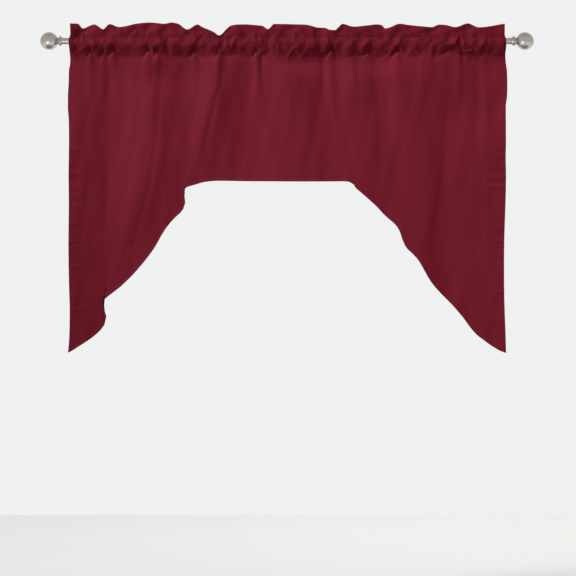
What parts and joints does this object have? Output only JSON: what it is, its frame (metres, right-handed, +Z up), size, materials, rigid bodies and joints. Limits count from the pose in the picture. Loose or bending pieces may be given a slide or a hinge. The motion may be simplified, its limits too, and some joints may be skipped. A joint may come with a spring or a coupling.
{
  "type": "window swag on a curtain rod",
  "caption": "Plain gathered cloth window swag with a ruffled rod-pocket heading and an arched lower edge running out into pointed tails, hung on a round rod with ball finials.",
  "frame": {"origin": "middle of the rod's axis, where the wall's brackets hold the rod", "axes": "+X along the rod to the right as seen from the room, +Y to the wall, +Z up"},
  "size_m": [1.452, 0.052, 0.971],
  "materials": {
    "cloth": "matt plain-woven polyester, burgundy",
    "nickel": "satin brushed nickel plate"
  },
  "bodies": {
    "root": {"swag_cloth": "cloth", "rod": "nickel", "finial_collar_left": "nickel", "finial_collar_right": "nickel", "finial_ball_left": "nickel", "finial_ball_right": "nickel"}
  },
  "joints": []
}
